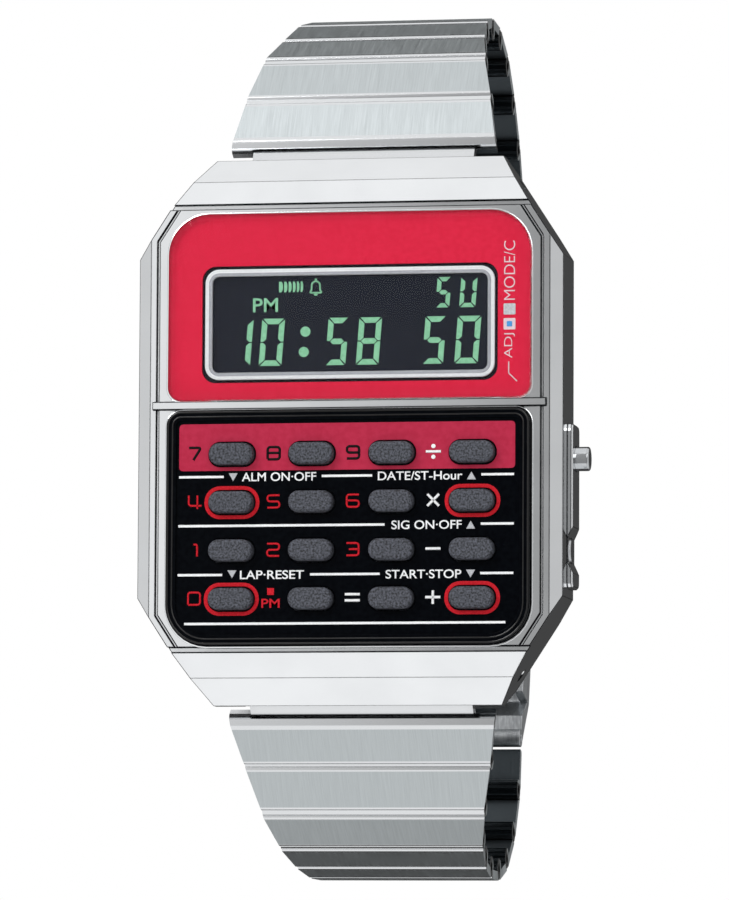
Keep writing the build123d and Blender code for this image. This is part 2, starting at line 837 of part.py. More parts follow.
def make_end_link(name, plane, near_pin, far_pin, widths):
    with BuildPart() as link:
        add(plate(
            plane, body_start, end_link_length - plate_gap / 2, widths[0], widths[1],
            plate_top - body_thickness, body_thickness, (body_edge, plate_edge),
        ))
        with BuildSketch(plane.offset(tongue_top - tongue_thickness)) as tongue:
            with Locations((0, body_start / 2)):
                Rectangle(tongue_width, body_start)
        extrude(tongue.sketch, amount=tongue_thickness)
        rod(near_pin, tongue_barrel_radius, tongue_width / 2)
        rod(near_pin, bar_radius + bar_clearance, tongue_width, Mode.SUBTRACT)
        far_end(plane, end_link_length, far_pin, widths[1])
        rod(near_pin, bar_radius, bar_length / 2)
        rod(near_pin, bar_tip_radius, bar_length / 2 + bar_tip_length)
    save(link, name)


def make_link(name, plane, near_pin, far_pin, widths, closed=True):
    side, room = widths[0] / 2, widths[0] * knuckle_share + barrel_side_gap
    end = link_pitch - (plate_gap / 2 if closed else cover_ear_radius + open_pivot_gap)
    with BuildPart() as link:
        add(plate(
            plane, plate_gap / 2, end, widths[0], widths[1],
            plate_top - plate_thickness, plate_thickness, (plate_edge, plate_edge),
        ))
        rod(near_pin, barrel_radius, side)
        rod(near_pin, knuckle_radius + barrel_gap, room, Mode.SUBTRACT)
        with BuildSketch(plane.offset(-barrel_radius)) as slot:
            with Locations((0, -barrel_radius / 2)):
                Rectangle(2 * room, barrel_radius)
        extrude(slot.sketch, amount=barrel_radius + slot_top, mode=Mode.SUBTRACT)
        rod(near_pin, pin_radius + pin_clearance, side, Mode.SUBTRACT)
        if closed:
            far_end(plane, link_pitch, far_pin, widths[1])
        rod(near_pin, pin_radius, side - pin_end_gap)
    save(link, name)


strand_ends = {}
for strand, angles, side in (("upper", upper_angles, 1), ("lower", lower_angles, -1)):
    pins, planes = pin_line(angles, side)
    strand_ends[strand] = pins[-1]
    last = len(angles)
    make_end_link(strand + "_link_1", planes[0], pins[0], pins[1], pin_widths[:2])
    for number in range(2, last + 1):
        closed = strand == "upper" or number < last
        place = number - 1
        make_link(
            strand + "_link_" + str(number),
            planes[place], pins[place], pins[number], pin_widths[place:number + 1], closed,
        )
    print(strand, "pins", [(round(y, 3), round(z, 3)) for y, z in pins])

# Clasp: two folded blades below a cover, all on arcs round one centre
clasp_start, cover_pivot = strand_ends["upper"], strand_ends["lower"]
middle_radius = clasp_start[1] / sin(radians(clasp_end_angle))
clasp_centre = (clasp_start[0] - middle_radius * cos(radians(clasp_end_angle)), 0)
blade_half_width = blade_width / 2
end_centre = pin_widths[-1] * knuckle_share
inner_low = middle_radius - blade_thickness / 2
inner_high = middle_radius + blade_thickness / 2
outer_low = inner_high + blade_gap
outer_high = outer_low + blade_thickness


def polar(radius, angle):
    return (clasp_centre[0] + radius * cos(radians(angle)), radius * sin(radians(angle)))


def strip(low, high, start, end):
    """A strip between two arcs of the clasp, seen from its side."""
    with BuildSketch(Plane.YZ) as side_view:
        with BuildLine():
            CenterArc(clasp_centre, high, start, end - start)
            CenterArc(clasp_centre, low, start, end - start)
            Line(polar(low, start), polar(high, start))
            Line(polar(low, end), polar(high, end))
        make_face()
    return side_view.sketch


low_fold = polar(inner_low + fold_radius, -fold_angle)
high_fold_radius = inner_high + cover_gap + fold_radius
high_fold = polar(high_fold_radius, fold_angle)
cover_low = high_fold_radius + fold_radius + cover_gap
cover_high = cover_low + cover_thickness
fold_centre = fold_centre_width / 2

with BuildPart() as inner_blade:
    extrude(strip(inner_low, inner_high, -fold_angle, clasp_end_angle), amount=blade_half_width, both=True)
    rod(clasp_start, barrel_radius, blade_half_width)
    rod(clasp_start, barrel_radius + barrel_gap, end_centre + barrel_side_gap, Mode.SUBTRACT)
    rod(clasp_start, pin_radius + pin_clearance, blade_half_width, Mode.SUBTRACT)
    side_rods(low_fold, fold_radius + fold_gap, fold_centre, blade_half_width, Mode.SUBTRACT)
    rod(low_fold, fold_radius, fold_centre)
    rod(low_fold, fold_pin_radius + fold_pin_clearance, fold_centre, Mode.SUBTRACT)
    rod(clasp_start, pin_radius, blade_half_width - pin_end_gap)
save(inner_blade, "clasp_inner_blade")

with BuildPart() as outer_blade:
    extrude(strip(outer_low, outer_high, -fold_angle, fold_angle), amount=blade_half_width, both=True)
    rod(low_fold, fold_radius, blade_half_width)
    rod(high_fold, fold_radius, blade_half_width)
    rod(low_fold, fold_radius + fold_gap, fold_centre + barrel_side_gap, Mode.SUBTRACT)
    for fold in (low_fold, high_fold):
        rod(fold, fold_pin_radius + fold_pin_clearance, blade_half_width, Mode.SUBTRACT)
    rod(low_fold, fold_pin_radius, blade_half_width - pin_end_gap)
save(outer_blade, "clasp_outer_blade")

cover_half_width = cover_width / 2
ramp = [
    polar(cover_high, -cover_ramp_angle),
    polar(middle_radius + cover_ear_radius, -clasp_end_angle),
    polar(middle_radius, -clasp_end_angle),
    polar(middle_radius, (-clasp_end_angle - cover_ramp_angle) / 2),
    polar(cover_low, -cover_ramp_angle),
]
with BuildPart() as cover:
    extrude(strip(inner_low, cover_high, -cover_ramp_angle, fold_angle), amount=cover_half_width, both=True)
    rod(high_fold, fold_radius, cover_half_width)
    inside = strip(inner_low - overrun, cover_low, -cover_ramp_angle, clasp_end_angle)
    extrude(inside, amount=cover_half_width - cover_wall, both=True, mode=Mode.SUBTRACT)
    with BuildSketch(Plane.YZ):
        Polygon(*ramp, align=None)
        with Locations(cover_pivot):
            Circle(cover_ear_radius)
    extrude(amount=cover_half_width, both=True)
    rod(cover_pivot, cover_ear_radius + open_pivot_gap, cover_ear_gap / 2, Mode.SUBTRACT)
    rod(cover_pivot, pin_radius + pin_clearance, cover_half_width, Mode.SUBTRACT)
    rod(high_fold, fold_pin_radius + fold_pin_clearance, cover_half_width, Mode.SUBTRACT)
    rod(cover_pivot, pin_radius, cover_half_width - pin_end_gap)
    rod(high_fold, fold_pin_radius, cover_half_width - pin_end_gap)
save(cover, "clasp_cover")
print("folds", low_fold, high_fold)
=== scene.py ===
import bpy
from math import cos, hypot, pi, radians, sin
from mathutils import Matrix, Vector


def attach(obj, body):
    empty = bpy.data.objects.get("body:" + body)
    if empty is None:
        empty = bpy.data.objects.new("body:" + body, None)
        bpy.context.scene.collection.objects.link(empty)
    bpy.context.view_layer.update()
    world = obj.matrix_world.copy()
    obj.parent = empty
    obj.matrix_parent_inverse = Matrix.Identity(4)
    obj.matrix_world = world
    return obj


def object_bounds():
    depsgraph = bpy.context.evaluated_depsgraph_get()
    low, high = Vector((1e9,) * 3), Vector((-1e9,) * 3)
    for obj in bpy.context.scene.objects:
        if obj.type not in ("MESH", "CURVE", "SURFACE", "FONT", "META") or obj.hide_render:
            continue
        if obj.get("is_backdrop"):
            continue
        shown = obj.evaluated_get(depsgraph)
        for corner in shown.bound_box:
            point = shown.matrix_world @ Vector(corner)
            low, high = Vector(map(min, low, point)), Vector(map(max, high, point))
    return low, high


# A steel calculator watch. Sizes are in millimetres and become metres through mm.
# The face looks towards -Y, and a depth is counted from the front of the display glass.
mm = 0.001
case_depth = 8.2
rim_depth = 0.1
panel_depth = 0.25
plateau_depth = 0.7
mask_depth = 1.2
display_depth = 1.55
ink_thickness = 0.03

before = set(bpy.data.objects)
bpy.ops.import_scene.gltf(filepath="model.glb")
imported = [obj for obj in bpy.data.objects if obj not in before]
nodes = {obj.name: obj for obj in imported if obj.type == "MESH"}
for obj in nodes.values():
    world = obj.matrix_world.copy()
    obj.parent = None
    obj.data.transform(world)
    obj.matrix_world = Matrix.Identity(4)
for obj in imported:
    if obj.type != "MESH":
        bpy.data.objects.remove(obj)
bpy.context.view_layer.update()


def y_at(depth):
    return (depth - case_depth) * mm


# Finishes: patterns and their parts. A scale counts the spots of a pattern to the metre.

def linear(code):
    """An sRGB hex value as the linear colour that a socket takes."""
    shares = [int(code[start:start + 2], 16) / 255 for start in (1, 3, 5)]
    return [s / 12.92 if s <= 0.04045 else ((s + 0.055) / 1.055) ** 2.4 for s in shares] + [1]


def add_node(tree, kind, settings=None, links=None):
    """Adds one node with its settings, input values and links."""
    node = tree.nodes.new("ShaderNode" + kind)
    for name, value in (settings or {}).items():
        if name in node.inputs:
            node.inputs[name].default_value = value
        else:
            setattr(node, name, value)
    for name, source in (links or {}).items():
        tree.links.new(source, node.inputs[name])
    return node


def start_finish(name, settings):
    """A material with its main shader, and the part's own coordinates in metres."""
    finish = bpy.data.materials.new(name)
    finish.use_nodes = True
    tree = finish.node_tree
    tree.nodes.clear()
    shader = add_node(tree, "BsdfPrincipled", settings)
    add_node(tree, "OutputMaterial", links={"Surface": shader.outputs["BSDF"]})
    place = add_node(tree, "TexCoord").outputs["Object"]
    return finish, tree, shader, place


def noise(tree, place, scale, detail, **settings):
    """A cloudy pattern."""
    node = add_node(tree, "TexNoise", {"Scale": scale, "Detail": detail, **settings},
                    {"Vector": place})
    return node.outputs["Fac"]


def stretched(tree, place, scale):
    """Coordinates that draw a pattern out into lines, along the axis of the smallest scale."""
    return add_node(tree, "Mapping", {"Scale": scale}, {"Vector": place}).outputs["Vector"]


def shade(tree, source, low, high, start=0.35, end=0.65):
    """Turns a pattern into a run between two colours."""
    ramp = add_node(tree, "ValToRGB", links={"Fac": source})
    ramp.color_ramp.elements[0].position = start
    ramp.color_ramp.elements[0].color = linear(low)
    ramp.color_ramp.elements[1].position = end
    ramp.color_ramp.elements[1].color = linear(high)
    return ramp.outputs["Color"]


def remap(tree, source, start, end, low=0.0, high=1.0, run="LINEAR"):
    """Turns the run of numbers from start to end into one from low to high."""
    settings = {"interpolation_type": run, "From Min": start, "From Max": end,
                "To Min": low, "To Max": high}
    return add_node(tree, "MapRange", settings, {"Value": source}).outputs["Result"]


def spread(tree, source, low, high):
    """Turns a pattern into a run between two numbers."""
    return remap(tree, source, 0.3, 0.7, low, high)


def along(tree, vector, direction):
    """How far a vector goes in a direction."""
    product = add_node(tree, "VectorMath", {"operation": "DOT_PRODUCT"}, {0: vector})
    product.inputs[1].default_value = direction
    return product.outputs["Value"]


# A Mix node has one set of sockets for numbers and one for colours, all with the same names,
# so these two go by the sockets' places.
def mix_numbers(tree, share, first, second):
    """The first where the share is 0, and the second where it is 1."""
    mixed = add_node(tree, "Mix", {}, {"Factor": share})
    for socket, value in ((mixed.inputs[2], first), (mixed.inputs[3], second)):
        if isinstance(value, float):
            socket.default_value = value
        else:
            tree.links.new(value, socket)
    return mixed.outputs[0]


def mix_tones(tree, share, plain, tone):
    """The plain colour where the share is 0, and the tone where it is 1."""
    mixed = add_node(tree, "Mix", {"data_type": "RGBA"}, {"Factor": share})
    mixed.inputs[6].default_value = linear(plain)
    tree.links.new(tone, mixed.inputs[7])
    return mixed.outputs[2]


def rounded_edges(tree, radius, samples=6):
    """Light catches an edge as if it had been broken by polishing."""
    settings = {"samples": samples, "Radius": radius * mm}
    return add_node(tree, "Bevel", settings).outputs["Normal"]


def painted_edge_reflections(tree, tone, radius):
    """Painted reflection: a thin dark line in the colour where two faces meet, for what a
    fast-turning broken edge mirrors.
    """
    turned = rounded_edges(tree, radius, 8)
    flat = add_node(tree, "NewGeometry").outputs["Normal"]
    agree = add_node(tree, "VectorMath", {"operation": "DOT_PRODUCT"}, {0: turned, 1: flat})
    share = remap(tree, agree.outputs["Value"], start=0.9935, end=0.9992)
    return mix_tones(tree, share, "#14171A", tone)


def painted_crevice_shade(tree, tone, reach, start, end):
    """Painted shade: the colour darkens between close parts, where the steel mirrors only other
    shaded steel.
    """
    settings = {"samples": 8, "Distance": reach * mm}
    open_share = add_node(tree, "AmbientOcclusion", settings).outputs["AO"]
    return mix_tones(tree, remap(tree, open_share, start, end), "#1D2124", tone)


def emboss(tree, shader, height, strength, depth, edge=None):
    """Raises a pattern on the surface, and breaks its edges where a radius is given."""
    links = {"Height": height}
    if edge is not None:
        links["Normal"] = rounded_edges(tree, edge)
    bump = add_node(tree, "Bump", {"Strength": strength, "Distance": depth * mm}, links)
    tree.links.new(bump.outputs["Normal"], shader.inputs["Normal"])


# Finishes: what the watch is made of

def mirror_steel(name, tone_low, tone_high, rough_low, rough_high, edge, add_painted_shade=True):
    """Stainless steel, buffed to a mirror, with a breath of haze from handling."""
    finish, tree, shader, place = start_finish(name, {"Metallic": 1.0})
    haze = noise(tree, place, 160.0, 3.0)
    tone = shade(tree, haze, tone_low, tone_high)
    # Painted shade and reflection: dark lines at the edges, and darker steel between close parts.
    if add_painted_shade:
        tone = painted_edge_reflections(tree, tone, radius=0.12)
        tone = painted_crevice_shade(tree, tone, reach=0.9, start=0.05, end=0.5)
    tree.links.new(tone, shader.inputs["Base Color"])
    tree.links.new(spread(tree, haze, rough_low, rough_high), shader.inputs["Roughness"])
    ripple = noise(tree, place, 420.0, 1.0)
    emboss(tree, shader, ripple, strength=0.01, depth=0.01, edge=edge)
    return finish


def brushed_link_steel(name, origin, line, outward, length, first_edge):
    """Stainless steel, brushed along the bracelet: fine bright and dark lines less than 0.1 mm
    apart, a soft gleam, and the cross edges of each link polished. The side on the wrist is
    dull, and its colour is painted dark as shade. The origin is the link's first pin, the line
    runs along the link, and the brushing starts first_edge from the pin."""
    finish, tree, shader, place = start_finish(name, {"Metallic": 1.0})
    lines = stretched(tree, place, (13000.0, 300.0, 300.0))
    grain = noise(tree, lines, 1.0, 4.0, Roughness=0.7)

    # 1 on the brushed middle of the link, and 0 on its polished cross edges
    offset = add_node(tree, "VectorMath", {"operation": "SUBTRACT"}, {0: place})
    offset.inputs[1].default_value = origin
    travel = along(tree, offset.outputs["Vector"], line)
    edges = add_node(tree, "ValToRGB", links={"Fac": remap(tree, travel, 0.0, length * mm)})
    ramp = edges.color_ramp
    ramp.interpolation = "CONSTANT"
    ramp.elements[0].position = 0.0
    ramp.elements[0].color = (0, 0, 0, 1)
    ramp.elements[1].position = first_edge / length
    ramp.elements[1].color = (1, 1, 1, 1)
    ramp.elements.new(1 - polished_edge / length).color = (0, 0, 0, 1)
    brushed = edges.outputs["Color"]

    tone = mix_tones(tree, brushed, "#DDDFE1", shade(tree, grain, "#B3B9BB", "#C4CACC", 0.3, 0.7))
    # Painted shade: the wrist side of each link is darkened, and so is the steel between close
    # links.
    own_normal = add_node(tree, "TexCoord").outputs["Normal"]
    unshaded_side = remap(tree, along(tree, own_normal, outward), start=-0.6, end=-0.1)
    tone = mix_tones(tree, unshaded_side, "#4E5458", tone)
    tone = painted_crevice_shade(tree, tone, reach=1.3, start=0.3, end=0.85)
    tree.links.new(tone, shader.inputs["Base Color"])
    rough = mix_numbers(tree, brushed, 0.12, spread(tree, grain, 0.33, 0.46))
    tree.links.new(rough, shader.inputs["Roughness"])
    strength = add_node(tree, "Math", {"operation": "MULTIPLY"}, {0: brushed})
    strength.inputs[1].default_value = 0.25
    bump = add_node(tree, "Bump", {"Distance": 0.012 * mm},
                    {"Height": grain, "Strength": strength.outputs[0]})
    tree.links.new(bump.outputs["Normal"], shader.inputs["Normal"])
    return finish


def grained_steel(name, scale, tone_low, tone_high, rough_low, rough_high, edge):
    """Metal with a directional grain, used on the clasp and on what the wearer doesn't see."""
    finish, tree, shader, place = start_finish(name, {"Metallic": 1.0})
    grain = noise(tree, stretched(tree, place, scale), 1.0, 4.0)
    tree.links.new(shade(tree, grain, tone_low, tone_high), shader.inputs["Base Color"])
    tree.links.new(spread(tree, grain, rough_low, rough_high), shader.inputs["Roughness"])
    emboss(tree, shader, grain, strength=0.3, depth=0.01, edge=edge)
    return finish


def moulded(name, tone_low, tone_high, grain_size, rough, bump_height, settings=None, edge=0.05):
    """Plastics, rubbers, inks and lacquers: a base tone with a fine second tone, and a grain."""
    finish, tree, shader, place = start_finish(name, {"Roughness": rough, **(settings or {})})
    grain = noise(tree, place, 1 / (grain_size * mm), 2.0)
    tree.links.new(shade(tree, grain, tone_low, tone_high), shader.inputs["Base Color"])
    emboss(tree, shader, grain, strength=0.5, depth=bump_height, edge=edge)
    return finish


def ink(name, tone_low, tone_high, rough, specular=0.1, grain_size=0.15):
    """Screen ink, a thin and nearly matt coat."""
    return moulded(name, tone_low, tone_high, grain_size, rough, 0.002,
                   {"Specular IOR Level": specular})


def mineral_glass():
    """Mineral glass, ground and polished, with a coating that takes most of the mirror image
    away. Light reaches the print below."""
    finish, tree, shader, _ = start_finish("polished_mineral_glass", {
        "Base Color": linear("#FFFFFF"), "Roughness": 0.0, "IOR": 1.52,
        "Specular Tint": linear("#5C5C5C"), "Transmission Weight": 1.0})
    clear = add_node(tree, "BsdfTransparent")
    path = add_node(tree, "LightPath")
    lighting = add_node(tree, "Math", {"operation": "MAXIMUM"}, {
        0: path.outputs["Is Shadow Ray"], 1: path.outputs["Is Diffuse Ray"]})
    mix = add_node(tree, "MixShader", {}, {
        0: lighting.outputs[0], 1: shader.outputs["BSDF"], 2: clear.outputs["BSDF"]})
    output = next(node for node in tree.nodes if node.type == "OUTPUT_MATERIAL")
    tree.links.new(mix.outputs["Shader"], output.inputs["Surface"])
    return finish


def layered_rubber():
    """Conductive strips: thin dark and pale layers of rubber, each 0.25 mm thick."""
    finish, tree, shader, place = start_finish("layered_contact_rubber", {"Roughness": 0.6})
    layers = add_node(tree, "TexWave", {"Scale": 4000.0 / 6.2832, "bands_direction": "X"},
                      {"Vector": place}).outputs["Fac"]
    tree.links.new(shade(tree, layers, "#2B2B2E", "#B9B4AE", 0.45, 0.55),
                   shader.inputs["Base Color"])
    return finish


def lacquered_board():
    """Fibreglass board under green lacquer. The pattern of tracks is flattened along Y, so the
    board shows the lines' paler tone alone."""
    finish, tree, shader, place = start_finish(
        "green_lacquered_board", {"Roughness": 0.35, "Coat Weight": 0.4})
    flat = stretched(tree, place, (1.0, 0.0, 1.0))
    tracks = add_node(tree, "TexBrick", {
        "Scale": 700.0, "Mortar Size": 0.03, "Color1": linear("#123D24"),
        "Color2": linear("#164A2C"), "Mortar": linear("#2E7A4B")}, {"Vector": flat})
    tree.links.new(tracks.outputs["Color"], shader.inputs["Base Color"])
    emboss(tree, shader, tracks.outputs["Fac"], strength=0.4, depth=0.03)
    return finish


# The numbers of a steel: its roughness, from and to, and the radius of its broken edges.
case_steel = mirror_steel("mirror_polished_steel", "#E8EAEC", "#EEF0F2", 0.05, 0.08, 0.1)
pusher_steel = mirror_steel("turned_and_polished_steel", "#BFC2C5", "#D8DADC", 0.08, 0.16, 0.06)
edge_steel = mirror_steel("rolled_polished_edge", "#F0F2F4", "#F7F9FA", 0.1, 0.16, 0.02,
                          add_painted_shade=False)
screw_steel = mirror_steel("turned_screw_steel", "#B0B3B6", "#C8CBCD", 0.2, 0.3, 0.05)
spring_steel = mirror_steel("drawn_spring_wire", "#A5A8AB", "#BCBFC2", 0.2, 0.3, 0.02)

grain_round_loop = (9000.0, 5000.0, 260.0)
clasp_steel = grained_steel("brushed_clasp_steel", grain_round_loop,
                            "#B9BCBF", "#CFD2D4", 0.3, 0.38, 0.1)
blade_steel = grained_steel("pressed_blade_steel", grain_round_loop,
                            "#BCBFC2", "#CDD0D2", 0.2, 0.28, 0.06)
back_steel = grained_steel("sideways_brushed_back_steel", (240.0, 240.0, 9000.0),
                           "#A6A9AC", "#C9CCCE", 0.28, 0.4, 0.12)
cell_steel = grained_steel("nickelled_cell_steel", (3000.0, 3000.0, 3000.0),
                           "#A8AAA9", "#BEC0BF", 0.24, 0.34, 0.1)
buzzer_brass = grained_steel("rolled_sounder_brass", (4000.0, 4000.0, 300.0),
                             "#B08D43", "#CDAA5C", 0.25, 0.38, 0.03)

glass = mineral_glass()
# The numbers of a moulding: the size of its grain, its roughness and the height of its grain.
mask_red = moulded("red_ink_under_glass", "#C61A38", "#CE213F", 0.3, 0.4, 0.0005,
                   {"Specular IOR Level": 0.1})
display_dark = moulded("dark_display_polariser", "#181B23", "#1C1F28", 0.2, 0.22, 0.0004,
                       {"Specular IOR Level": 0.05})
panel_black = moulded("gloss_black_panel", "#030407", "#06080C", 0.4, 0.14, 0.0006,
                      {"Specular IOR Level": 0.025}, 0.08)
bead_black = moulded("polished_black_bead", "#050506", "#0A0A0C", 0.4, 0.1, 0.0006, edge=0.02)
# The keys' grain is drawn coarser than real, so that it shows at this size.
key_rubber = moulded("grained_silicone_keys", "#101217", "#4F525C", 0.16, 0.72, 0.045, edge=0.1)
sheet_rubber = moulded("plain_silicone_sheet", "#2A2A2D", "#35353A", 0.3, 0.65, 0.01)
contact_rubber = layered_rubber()
module_plastic = moulded("moulded_abs_frame", "#18181B", "#212125", 0.25, 0.5, 0.01)
board_lacquer = lacquered_board()
potting = moulded("black_potting_resin", "#0D0D0F", "#19191B", 0.35, 0.45, 0.02)
window_silver = moulded("bright_silver_lacquer", "#E9EBEE", "#F1F3F5", 0.2, 0.35, 0.001,
                        {"Metallic": 0.35}, 0.15)
# Painted shade: a darker copy of the silver lacquer, for the window frame's shaded slope.
painted_shade_lacquer = moulded("silver_lacquer_painted_shade", "#8D9096", "#989BA1", 0.2, 0.4, 0.001,
                       {"Metallic": 0.35})

white_ink = ink("white_screen_ink", "#DCDEE0", "#ECEDEE", 0.5)
rose_white_ink = ink("thin_white_ink_on_red", "#CDB4BB", "#D8C2C8", 0.5)
grey_ink = ink("grey_screen_ink", "#A9ABB0", "#BDBFC3", 0.5)
red_ink = ink("red_screen_ink", "#B3131F", "#C71D2B", 0.42)
strip_red_ink = ink("rose_red_panel_ink", "#A51F3C", "#AD2643", 0.35, 0.15, 0.5)
black_ink = ink("black_screen_ink", "#08080A", "#0E0E10", 0.45)
blue_ink = ink("blue_screen_ink", "#2C7FBF", "#378BC9", 0.45, 0.5)
etched_ink = ink("dark_laser_etching", "#4B4D50", "#5B5D60", 0.55, 0.5, 0.1)
segment_mint = moulded("pale_green_segments", "#74AE8A", "#82BC98", 0.2, 0.45, 0.001,
                       {"Specular IOR Level": 0.1})


def dress(piece, finish):
    piece.data.materials.clear()
    piece.data.materials.append(finish)


node_finish = {
    "case_body": case_steel, "case_back": back_steel, "back_gasket": sheet_rubber,
    "back_screws": screw_steel, "crystal": glass, "dial_mask": mask_red,
    "window_frame": window_silver, "lcd_cell": display_dark, "lcd_connectors": contact_rubber,
    "keypad_panel": panel_black, "key_mat": sheet_rubber, "module_frame": module_plastic,
    "circuit_board": board_lacquer, "board_components": potting, "battery": cell_steel,
    "battery_clip": spring_steel, "buzzer_disc": buzzer_brass, "mode_pusher": pusher_steel,
    "set_pusher": pusher_steel, "mode_spring": spring_steel, "set_spring": spring_steel,
    "clasp_cover": clasp_steel, "clasp_outer_blade": blade_steel, "clasp_inner_blade": blade_steel,
}
for name, part in nodes.items():
    if name in node_finish:
        dress(part, node_finish[name])
    elif name.startswith("key_"):
        dress(part, key_rubber)

# Each link is brushed between its two polished cross edges, so its finish knows its own line.
# The angles say how far each link turns back from the face's plane, from the case to the clasp.
polished_edge = 0.5
lug_pin_y, lug_pin_z = -3.0, 19.3
link_pitch, end_link_length = 4.4, 8.0
end_link_body, end_link_shoulder = 3.4, 0.5
link_angles = {
    "upper": [29, 38, 62, 66, 78, 92, 111.2, 128.3, 142, 153.8],
    "lower": [38, 35, 56, 72, 81, 89, 102.3, 121.3, 144.7, 169.9],
}
for strand, side in (("upper", 1), ("lower", -1)):
    y, z = lug_pin_y, lug_pin_z
    for number, angle in enumerate(link_angles[strand], 1):
        length, first_edge = link_pitch, polished_edge
        if number == 1:
            length, first_edge = end_link_length, end_link_body + polished_edge + end_link_shoulder
        run, rise = sin(radians(angle)), cos(radians(angle))
        dress(nodes[f"{strand}_link_{number}"], brushed_link_steel(
            f"brushed_{strand}_link_{number}", origin=(0.0, y * mm, side * z * mm),
            line=(0.0, run, side * rise), outward=(0.0, -rise, side * run),
            length=length, first_edge=first_edge))
        y, z = y + length * run, z + length * rise


# Printing, done as thin plates of ink. A drawing is 1 mm deep until stand_up makes it thin.

half_depth = 0.5
arc_steps, soft_steps = 8, 4


def only(piece):
    bpy.ops.object.select_all(action="DESELECT")
    piece.select_set(True)
    bpy.context.view_layer.objects.active = piece


def to_mesh(piece):
    only(piece)
    bpy.ops.object.convert(target="MESH")
    return bpy.context.view_layer.objects.active


def apply_place(piece):
    only(piece)
    bpy.ops.object.transform_apply(location=True, rotation=True, scale=True)


def join_as(name, parts, finish, body):
    """Joins what is one ink and one body into one piece, and gives it to the body."""
    bpy.ops.object.select_all(action="DESELECT")
    for part in parts:
        part.select_set(True)
    bpy.context.view_layer.objects.active = parts[0]
    if len(parts) > 1:
        bpy.ops.object.join()
    piece = bpy.context.view_layer.objects.active
    piece.name = piece.data.name = name
    dress(piece, finish)
    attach(piece, body)


def stand_up(piece, depth, thickness, back=False):
    """From a flat drawing in millimetres to a plate on the watch's front, or on its back."""
    piece.rotation_euler = (pi / 2, 0, pi if back else 0)
    piece.scale = (mm, mm, thickness * mm)
    piece.location = (0, y_at(depth), 0)
    apply_place(piece)
    return piece


def drawn(paths, closed, **settings):
    """A mesh drawn in millimetres from straight runs through each path's points."""
    drawing = bpy.data.curves.new("drawing", "CURVE")
    for name, value in settings.items():
        setattr(drawing, name, value)
    for path in paths:
        line = drawing.splines.new("POLY")
        line.points.add(len(path) - 1)
        for point, (x, z) in zip(line.points, path):
            point.co = (x, z, 0, 1)
        line.use_cyclic_u = closed
    piece = bpy.data.objects.new("drawing", drawing)
    bpy.context.collection.objects.link(piece)
    return to_mesh(piece)


def printed(outlines, depth, thickness=ink_thickness):
    """A plate with these closed outlines; an outline inside another is a hole."""
    piece = drawn(outlines, True, dimensions="2D", fill_mode="BOTH", extrude=half_depth)
    return stand_up(piece, depth, thickness)


def stroked(paths, width, depth, thickness=ink_thickness, closed=False):
    """Lines of one width, as a pen draws them. Such a drawing is as deep as it is wide."""
    piece = drawn(paths, closed, dimensions="3D", bevel_depth=width / 2, bevel_resolution=1,
                  use_fill_caps=True)
    return stand_up(piece, depth, thickness / width)


def bar(left, right, low, high):
    return [(left, low), (right, low), (right, high), (left, high)]


def softened(points, radius, closed=True):
    """An outline or a path with its corners rounded."""
    count, result = len(points), []
    for index, corner in enumerate(points):
        if not closed and index in (0, count - 1):
            result.append(corner)
            continue
        before, after = points[index - 1], points[(index + 1) % count]
        ends = []
        for other in (before, after):
            reach = hypot(other[0] - corner[0], other[1] - corner[1])
            share = min(radius / reach, 0.5)
            ends.append([corner[axis] + (other[axis] - corner[axis]) * share for axis in (0, 1)])
        for step in range(soft_steps + 1):
            t = step / soft_steps
            first, middle, last = (1 - t) ** 2, 2 * t * (1 - t), t ** 2
            result.append(tuple(
                first * ends[0][axis] + middle * corner[axis] + last * ends[1][axis]
                for axis in (0, 1)))
    return result


def quarter(x, z, radius, turn):
    """A quarter of a circle round a centre, after so many quarter turns."""
    angles = [(turn + step / arc_steps) * pi / 2 for step in range(arc_steps + 1)]
    return [(x + radius * cos(angle), z + radius * sin(angle)) for angle in angles]


def oval(centre, width, height, radius):
    """A box with true round corners."""
    x, z = centre
    result = []
    for turn, (side_x, side_z) in enumerate(((1, 1), (-1, 1), (-1, -1), (1, -1))):
        result += quarter(x + side_x * (width / 2 - radius), z + side_z * (height / 2 - radius),
                          radius, turn)
    return result


def pill(x, z, width, height):
    """A box with fully round ends, which is a disc where it is as wide as high."""
    return oval((x, z), width, height, min(width, height) / 2 - 0.001)


def lettering(words, left, right, low, high, depth, thickness=ink_thickness, upwards=False,
              back=False, weight=0.012):
    """Words fitted into a box on the watch's front, or on its back."""
    bpy.ops.object.text_add()
    piece = bpy.context.view_layer.objects.active
    piece.data.body = words
    piece.data.extrude = half_depth
    piece.data.offset = weight
    piece = to_mesh(piece)
    xs = [vertex.co.x for vertex in piece.data.vertices]
    ys = [vertex.co.y for vertex in piece.data.vertices]
    wide, tall = max(xs) - min(xs), max(ys) - min(ys)
    length, height = (high - low, right - left) if upwards else (right - left, high - low)
    piece.location = (-(max(xs) + min(xs)) / 2, -(max(ys) + min(ys)) / 2, 0)
    apply_place(piece)
    piece.scale = (length / wide, height / tall, 1)
    apply_place(piece)
    if upwards:
        piece.rotation_euler = (0, 0, pi / 2)
        apply_place(piece)
    piece.location = ((left + right) / 2 * (-1 if back else 1), (low + high) / 2, 0)
    apply_place(piece)
    return stand_up(piece, depth, thickness, back)


# Display: pale segments on the dark cell

segment_width, small_segment_width = 0.44, 0.34
segment_gap = 0.045
lean = 0.075
digits_low, digits_height = 4.84, 3.72
day_low, day_height = 9.24, 2.39
bars_low, bars_high = 10.62, 11.46
digit_shapes = {"0": "abcdef", "1": "bc", "5": "afgcd", "8": "abcdefg", "S": "afgcd", "U": "bcdef"}


